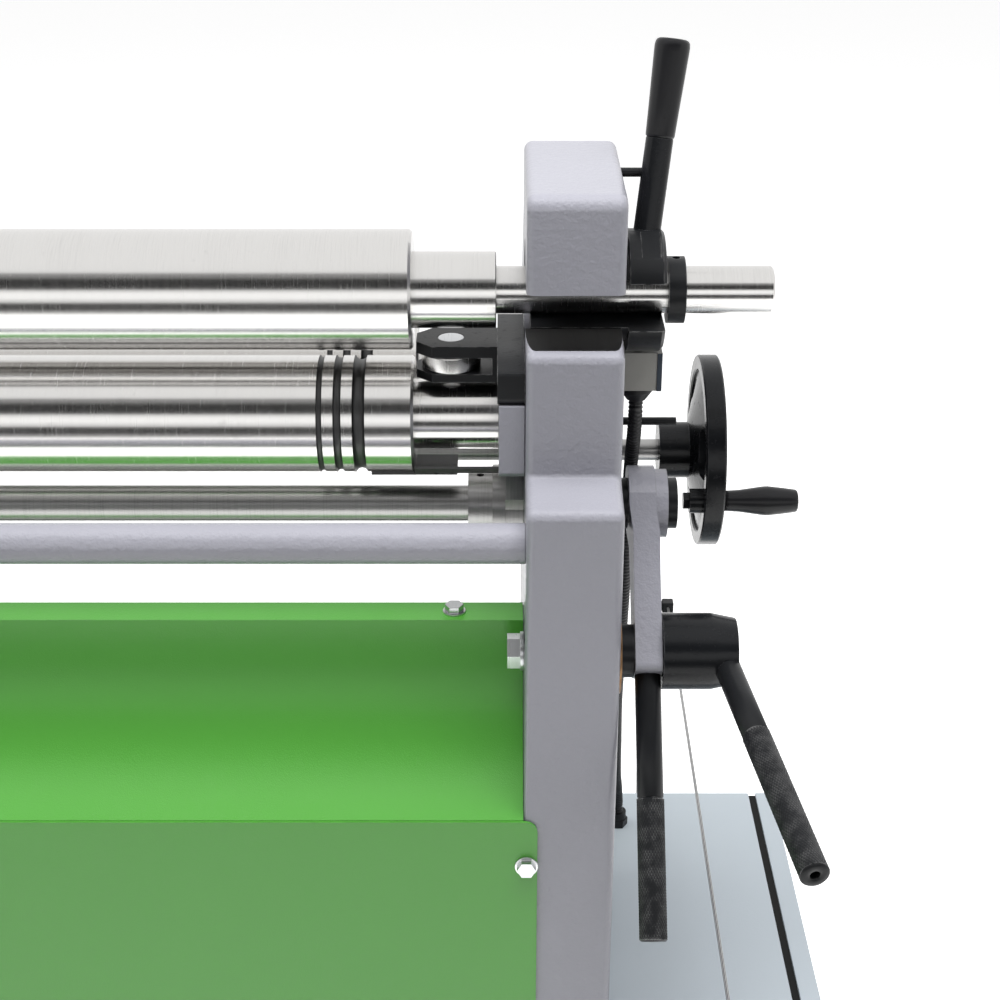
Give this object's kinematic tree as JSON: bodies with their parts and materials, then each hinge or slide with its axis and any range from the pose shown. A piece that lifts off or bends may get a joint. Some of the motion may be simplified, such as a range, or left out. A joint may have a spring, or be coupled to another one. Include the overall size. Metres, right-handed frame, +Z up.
{
  "type": "powered slip roll machine",
  "caption": "Powered slip roll: pinch rolls between cast frames, a rear forming roll raised by a handwheel, a cam lever that lifts the lower roll and a lock hub that frees the top roll.",
  "frame": {"origin": "on the floor, in the middle of the four anchor holes, straight below the axes of the top and lower rolls", "axes": "+X runs along the rolls to the end with the levers, +Y points away from the operator, +Z is up"},
  "size_m": [2.0846, 0.9411, 1.1789],
  "materials": {
    "frame_paint": "grey hammer-textured enamel, semi-gloss",
    "cover_paint": "green fine-textured powder coat",
    "ground_steel": "ground steel with marks round the roll",
    "machined_steel": "turned and milled steel, oiled",
    "black_steel": "satin black oxide and paint",
    "zinc": "bright zinc plated screws",
    "black_plastic": "matte black plastic",
    "cabinet_paint": "light blue-grey powder coat",
    "switch_housing": "light grey die cast and plastic housing",
    "motor_paint": "blue-grey enamel",
    "red_plastic": "red moulded plastic",
    "green_plastic": "green moulded plastic",
    "contactor_plastic": "off-white moulded plastic",
    "bronze": "oiled bronze friction washer on a black spacer",
    "wire_steel": "plastic-coated steel cable"
  },
  "bodies": {
    "base": {"frame_right": "frame_paint", "frame_left": "frame_paint", "tie_tube": "frame_paint", "cross_ties": "frame_paint", "upper_cover": "cover_paint", "front_panel": "cover_paint", "rear_panel": "cover_paint", "cover_screws": "zinc", "drive_cover": "cover_paint", "gearbox": "motor_paint", "motor": "motor_paint", "bearing_socket": "machined_steel", "index_pins": "black_steel", "limit_switch": "switch_housing", "conduit_glands": "black_plastic", "conduit": "black_plastic", "cabinet": "cabinet_paint", "switchgear": "contactor_plastic", "trip_posts": "frame_paint", "corner_guides": "black_plastic", "trip_wire": "wire_steel", "trip_switch": "red_plastic", "slide_covers": "frame_paint"},
    "lower_carriage": {"lower_blocks": "frame_paint", "cone_bracket": "black_steel", "cone_pin": "machined_steel", "roll_guard": "machined_steel"},
    "lower_roll_body": {"lower_roll": "ground_steel", "lower_gear": "machined_steel"},
    "top_swing": {"swing_ball": "machined_steel"},
    "top_roll_body": {"top_roll": "ground_steel", "top_gear": "machined_steel", "set_collar": "black_steel"},
    "lock": {"lock_hub": "black_steel", "lock_lever": "black_steel", "lock_grip": "black_plastic"},
    "clamp_arm_body": {"cam_shaft": "machined_steel", "cams": "machined_steel", "clamp_arm": "frame_paint", "pull_lever": "black_steel", "clamp_bolt": "zinc", "arm_washers": "bronze"},
    "clamp_nut_body": {"clamp_nut": "black_steel", "clamp_lever": "black_steel"},
    "rear_carriage": {"rear_blocks": "machined_steel"},
    "rear_roll_body": {"rear_roll": "ground_steel"},
    "screw_right": {"rear_screw_right": "machined_steel"},
    "screw_left": {"rear_screw_left": "machined_steel"},
    "wheel": {"handwheel": "black_steel", "sync_shaft": "machined_steel"},
    "crank": {"crank_grip": "black_plastic"},
    "cone": {"cone_roller": "ground_steel"},
    "door": {"cabinet_door": "cabinet_paint"},
    "key_lock": {"door_lock": "machined_steel"},
    "mains_knob": {"main_switch": "red_plastic"},
    "stop": {"stop_button": "red_plastic"},
    "start": {"start_button": "green_plastic"},
    "idler": {"idler_gear": "machined_steel"},
    "drive": {"drive_gear": "machined_steel"},
    "plunger": {"switch_plunger": "contactor_plastic"}
  },
  "joints": [
    {"name": "top_swing_out", "type": "hinge", "parent": "base", "child": "top_swing", "pos_m": [-0.79, 0, 1], "axis": [0, 0, 1], "range_deg": [-4, 0]},
    {"name": "top_spin", "type": "hinge", "parent": "top_swing", "child": "top_roll_body", "pos_m": [-0.79, 0, 1], "axis": [1, 0, 0], "continuous": true},
    {"name": "lock_turn", "type": "hinge", "parent": "base", "child": "lock", "pos_m": [0.8, 0, 1], "axis": [1, 0, 0], "range_deg": [0, 90]},
    {"name": "pull_turn", "type": "hinge", "parent": "base", "child": "clamp_arm_body", "pos_m": [0.829, 0, 0.8235], "axis": [-1, 0, 0], "range_deg": [0, 35]},
    {"name": "lower_lift", "type": "slide", "parent": "base", "child": "lower_carriage", "axis": [0, 0, 1], "range_m": [0, 0.0085]},
    {"name": "lower_spin", "type": "hinge", "parent": "lower_carriage", "child": "lower_roll_body", "pos_m": [0, 0, 0.9], "axis": [1, 0, 0], "continuous": true},
    {"name": "idler_spin", "type": "hinge", "parent": "base", "child": "idler", "pos_m": [-0.82, 0, 0.8085], "axis": [1, 0, 0], "continuous": true},
    {"name": "drive_spin", "type": "hinge", "parent": "base", "child": "drive", "pos_m": [-0.82, 0.04503, 0.68478], "axis": [1, 0, 0], "continuous": true},
    {"name": "clamp_turn", "type": "hinge", "parent": "clamp_arm_body", "child": "clamp_nut_body", "pos_m": [0.87, -0.07679, 0.73391], "axis": [-1, 0, 0], "range_deg": [0, 45]},
    {"name": "wheel_turn", "type": "hinge", "parent": "base", "child": "wheel", "pos_m": [0.87, 0.107, 0.822], "axis": [1, 0, 0], "range_deg": [-360, 4320]},
    {"name": "rear_lift", "type": "slide", "parent": "base", "child": "rear_carriage", "axis": [0, -0.1392, 0.9903], "range_m": [-0.005, 0.06]},
    {"name": "screw_right_turn", "type": "hinge", "parent": "base", "child": "screw_right", "pos_m": [0.787, 0.107, 0.822], "axis": [0, -0.1392, 0.9903], "range_deg": [-360, 4320]},
    {"name": "screw_left_turn", "type": "hinge", "parent": "base", "child": "screw_left", "pos_m": [-0.787, 0.107, 0.822], "axis": [0, -0.1392, 0.9903], "range_deg": [-4320, 360]},
    {"name": "rear_spin", "type": "hinge", "parent": "rear_carriage", "child": "rear_roll_body", "pos_m": [0, 0.09698, 0.8933], "axis": [1, 0, 0], "continuous": true},
    {"name": "crank_spin", "type": "hinge", "parent": "wheel", "child": "crank", "pos_m": [0.93, 0.0457, 0.80361], "axis": [1, 0, 0], "continuous": true},
    {"name": "cone_spin", "type": "hinge", "parent": "lower_carriage", "child": "cone", "pos_m": [0.678, 0, 0.954], "axis": [0, 0, 1], "continuous": true},
    {"name": "door_turn", "type": "hinge", "parent": "base", "child": "door", "pos_m": [0.98065, 0.312, 0.206], "axis": [0, 0, 1], "range_deg": [0, 110]},
    {"name": "lock_key_turn", "type": "hinge", "parent": "door", "child": "key_lock", "pos_m": [1, -0.067, 0.206], "axis": [1, 0, 0], "range_deg": [0, 90]},
    {"name": "main_switch_turn", "type": "hinge", "parent": "door", "child": "mains_knob", "pos_m": [1, -0.042, 0.259], "axis": [1, 0, 0], "range_deg": [0, 90]},
    {"name": "stop_press", "type": "slide", "parent": "door", "child": "stop", "axis": [-1, 0, 0], "range_m": [0, 0.004], "stiffness_N_per_m": 1500},
    {"name": "start_press", "type": "slide", "parent": "door", "child": "start", "axis": [-1, 0, 0], "range_m": [0, 0.003], "stiffness_N_per_m": 1000},
    {"name": "plunger_press", "type": "slide", "parent": "base", "child": "plunger", "axis": [0, 0, -1], "range_m": [0, 0.003], "stiffness_N_per_m": 800}
  ],
  "couplings": [
    {"joint": "lower_lift", "follows": "pull_turn", "m_per_rad": 0.013915},
    {"joint": "top_spin", "follows": "lower_spin", "ratio": -1},
    {"joint": "idler_spin", "follows": "lower_spin", "ratio": -1},
    {"joint": "drive_spin", "follows": "lower_spin", "ratio": 0.57143},
    {"joint": "rear_lift", "follows": "wheel_turn", "m_per_rad": 0.00079577},
    {"joint": "screw_right_turn", "follows": "wheel_turn", "ratio": 1},
    {"joint": "screw_left_turn", "follows": "wheel_turn", "ratio": -1}
  ]
}
